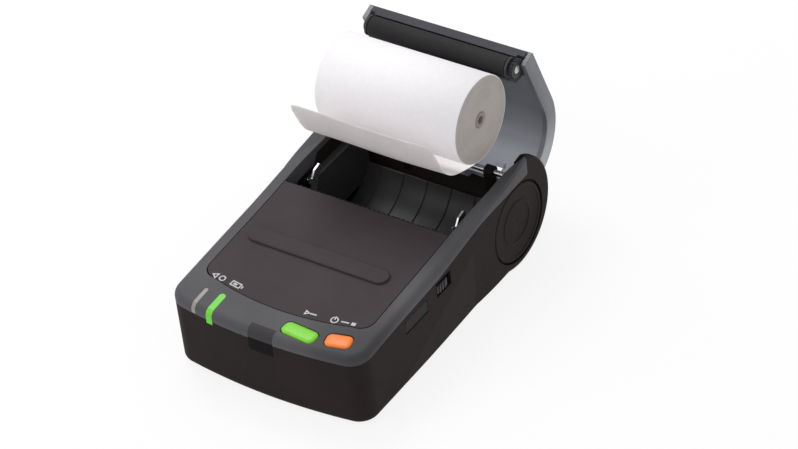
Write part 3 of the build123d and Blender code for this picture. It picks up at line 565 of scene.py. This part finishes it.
def paper_tail():
    """The loose end as one curved sheet, a little wavy across its width."""
    mesh = bmesh.new()
    width = 2 * PAPER_HALF
    line = [mesh.verts.new((-PAPER_HALF, ROLL_Y + y, ROLL_Z + z)) for y, z in TAIL_LINE]
    edges = [mesh.edges.new(pair) for pair in zip(line, line[1:])]
    for column in range(TAIL_COLUMNS):
        grown = bmesh.ops.extrude_edge_only(mesh, edges=edges)["geom"]
        moved = [part for part in grown if isinstance(part, bmesh.types.BMVert)]
        edges = [part for part in grown if isinstance(part, bmesh.types.BMEdge)]
        edges = [edge for edge in edges if all(vert in moved for vert in edge.verts)]
        bmesh.ops.translate(mesh, verts=moved, vec=(width / TAIL_COLUMNS, 0, 0))
    for vert in mesh.verts:
        along = (ROLL_Y - vert.co.y) / TAIL_REACH
        across = (vert.co.x + PAPER_HALF) / width
        vert.co.z += TAIL_WAVE * along * math.sin(across * 7.0)
        vert.co.y -= TAIL_WAVE * along * math.sin(across * 4.0)
    bmesh.ops.recalc_face_normals(mesh, faces=mesh.faces[:])
    piece = new_piece("loose_end", mesh, LOOSE_PAPER, "core")
    smoother = piece.modifiers.new("smooth", "SUBSURF")
    smoother.levels = 2
    smoother.render_levels = 2
    thickness = piece.modifiers.new("thickness", "SOLIDIFY")
    thickness.thickness = TAIL_THICKNESS
    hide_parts("paper_tail")
    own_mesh(piece)


# Piece, node, slot, centre, turn in degrees, length and width
BUTTONS = (
    ("feed_cap", "feed_button", "green_button", (0.0134, -0.0546), -4, 0.0135, 0.0056),
    ("power_cap", "power_button", "orange_button", (0.0276, -0.0524), 14, 0.0093, 0.0060),
)
BUTTON_CORNER = 0.0021
BUTTON_CROWN_HEIGHT = 0.0007

# Steps of a button's rounded edge, inwards and up, from its side to the middle of its crown
BUTTON_CROWN = (
    (0.0001, 0.00018),
    (0.00022, 0.0002),
    (0.0004, 0.00018),
    (0.0005, 0.00009),
    (0.0006, 0.00003),
)


def crowned_button(name, node, slot_name, centre, turn, length, width):
    """A button cap with rounded corners, a soft shoulder and a low crown."""
    low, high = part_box(node)
    mesh = bmesh.new()
    bmesh.ops.create_grid(mesh, x_segments=1, y_segments=1, size=0.5)
    bmesh.ops.scale(mesh, verts=mesh.verts[:], vec=(length, width, 1))
    bmesh.ops.bevel(
        mesh,
        geom=mesh.verts[:],
        offset=BUTTON_CORNER,
        segments=7,
        profile=0.5,
        affect="VERTICES",
        material=-1,
    )
    top = mesh.faces[:]
    grown = bmesh.ops.extrude_face_region(mesh, geom=top)["geom"]
    height = high[2] - low[2] - BUTTON_CROWN_HEIGHT
    bmesh.ops.translate(
        mesh,
        verts=[part for part in grown if isinstance(part, bmesh.types.BMVert)],
        vec=(0, 0, height),
    )
    top = [part for part in grown if isinstance(part, bmesh.types.BMFace)]
    for inset, rise in BUTTON_CROWN:
        bmesh.ops.inset_region(mesh, faces=top, thickness=inset, depth=0)
        crown = {vert for face in top for vert in face.verts}
        bmesh.ops.translate(mesh, verts=list(crown), vec=(0, 0, rise))
    spin = Matrix.Rotation(math.radians(turn), 3, "Z")
    bmesh.ops.rotate(mesh, verts=mesh.verts[:], cent=(0, 0, 0), matrix=spin)
    bmesh.ops.translate(mesh, verts=mesh.verts[:], vec=(centre[0], centre[1], low[2]))
    bmesh.ops.recalc_face_normals(mesh, faces=mesh.faces[:])
    piece = new_piece(name, mesh, finishes[slot_name], node)
    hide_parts(node)


# Printed signs: height over the panel and width of their lines
MARK_LIFT = 0.00011
MARK_LINE = 0.0005


def on_panel(mesh, x, y, turn):
    """Moves a flat mark from the origin to its place on the sloping front panel."""
    slope = Matrix.Rotation(math.atan(PANEL_SLOPE), 4, "X")
    spin = Matrix.Rotation(math.radians(turn), 4, "Z")
    height = PANEL_Z + (y - PANEL_Y) * PANEL_SLOPE
    place = Matrix.Translation((x, y, height + MARK_LIFT))
    bmesh.ops.transform(mesh, verts=mesh.verts[:], matrix=place @ slope @ spin)


def flat_ring(mesh, sides, radius, x, y=0, stretch=1.0, turn=0):
    """A flat outline with a number of sides, turned in degrees."""
    made = bmesh.ops.create_circle(mesh, cap_ends=True, segments=sides, radius=radius)["verts"]
    face = made[0].link_faces[0]
    spin = Matrix.Rotation(math.radians(turn), 3, "Z")
    bmesh.ops.rotate(mesh, verts=made, cent=(0, 0, 0), matrix=spin)
    bmesh.ops.scale(mesh, verts=made, vec=(stretch, 1, 1))
    bmesh.ops.translate(mesh, verts=made, vec=(x, y, 0))
    bmesh.ops.inset_region(
        mesh,
        faces=[face],
        thickness=MARK_LINE,
        use_boundary=True,
        use_even_offset=True,
    )
    bmesh.ops.delete(mesh, geom=[face], context="FACES")


def flat_bar(mesh, x, y, length, width):
    """A flat bar about its middle."""
    made = bmesh.ops.create_grid(mesh, x_segments=1, y_segments=1, size=0.5)["verts"]
    bmesh.ops.scale(mesh, verts=made, vec=(length, width, 1))
    bmesh.ops.translate(mesh, verts=made, vec=(x, y, 0))


def printed_marks():
    """Plain signs beside the lights and the buttons."""
    warning = bmesh.new()
    flat_ring(warning, 3, 0.0017, -0.0013, -0.0002, turn=90)
    flat_ring(warning, 24, 0.0013, 0.0017)
    cell = bmesh.new()
    flat_ring(cell, 4, 0.0017, -0.0003, stretch=1.8, turn=45)
    flat_bar(cell, 0.0025, 0, 0.0006, 0.0012)
    flat_bar(cell, -0.0006, 0, 0.0016, 0.0009)
    feed = bmesh.new()
    flat_ring(feed, 3, 0.0014, -0.0010, turn=-90)
    flat_bar(feed, 0.0015, 0, 0.0026, 0.0006)
    power = bmesh.new()
    flat_ring(power, 24, 0.0015, -0.0030)
    flat_bar(power, -0.0030, 0.0009, 0.0005, 0.0016)
    flat_bar(power, 0.0009, 0, 0.0030, 0.0006)
    flat_bar(power, 0.0040, 0, 0.0016, 0.0014)
    for name, mesh, x, y, turn in (
        ("warning_sign", warning, -0.0272, -0.0438, -10),
        ("cell_sign", cell, -0.0192, -0.0447, -8),
        ("feed_sign", feed, 0.0113, -0.0457, 4),
        ("power_sign", power, 0.0238, -0.0444, 8),
    ):
        on_panel(mesh, x, y, turn)
        new_piece(name, mesh, PRINTED_MARK, "case", smooth=False)


wound_roll()
paper_tail()
for button in BUTTONS:
    crowned_button(*button)
printed_marks()


# Floor, light and view: half the floor's side, its height, how white it shows, and the light
FLOOR_HALF = 3
FLOOR_Z = -0.0001
FLOOR_WHITE = 0.85
WORLD_LIGHT = 0.62
LAMP_AIM = Vector((0, 0, 0.03))

# Name, place, watts and size
LAMPS = (
    ("key", (-0.35, 0.25, 0.75), 3.3, 0.5),
    ("fill", (0.7, -0.6, 0.5), 0.6, 0.6),
    ("front", (-0.5, -0.7, 0.6), 1.5, 0.6),
)


def floor_finish():
    """Pale floor that shows white to the camera and keeps a faint shadow."""
    net = Net("floor")
    tone = net.fit(net.noise(8, 3), 0.3, 0.7)
    pale = net.mix(tone, (0.93, 0.93, 0.93, 1), (0.95, 0.95, 0.95, 1))
    lit = net.surface(Base_Color=pale, Roughness=0.6, Specular_IOR_Level=0.2)
    white = net.node("ShaderNodeEmission", None, (1, 1, 1, 1), 1.0).outputs[0]
    rays = net.node("ShaderNodeLightPath").outputs
    seen = Value(net, rays["Is Camera Ray"]) + Value(net, rays["Is Transmission Ray"])
    seen = seen + Value(net, rays["Is Glossy Ray"])
    share = net.fit(seen, 0.0, 1.0, 0.0, FLOOR_WHITE)
    return net.finish(net.node("ShaderNodeMixShader", None, share, lit, white).outputs[0])


def make_stage():
    mesh = bmesh.new()
    bmesh.ops.create_grid(mesh, x_segments=1, y_segments=1, size=FLOOR_HALF)
    data = bpy.data.meshes.new("floor")
    mesh.to_mesh(data)
    mesh.free()
    floor = bpy.data.objects.new("floor", data)
    scene.collection.objects.link(floor)
    floor.location.z = FLOOR_Z
    data.materials.append(floor_finish())
    world = bpy.data.worlds.new("world")
    scene.world = world
    world.use_nodes = True
    background = world.node_tree.nodes["Background"]
    background.inputs[0].default_value = (1, 1, 1, 1)
    background.inputs[1].default_value = WORLD_LIGHT
    for name, place, power, size in LAMPS:
        data = bpy.data.lights.new(name, "AREA")
        data.energy = power
        data.size = size
        lamp = bpy.data.objects.new(name, data)
        lamp.location = place
        toward = LAMP_AIM - Vector(place)
        lamp.rotation_euler = toward.to_track_quat("-Z", "Y").to_euler()
        scene.collection.objects.link(lamp)
    scene.view_settings.view_transform = "Standard"


make_stage()
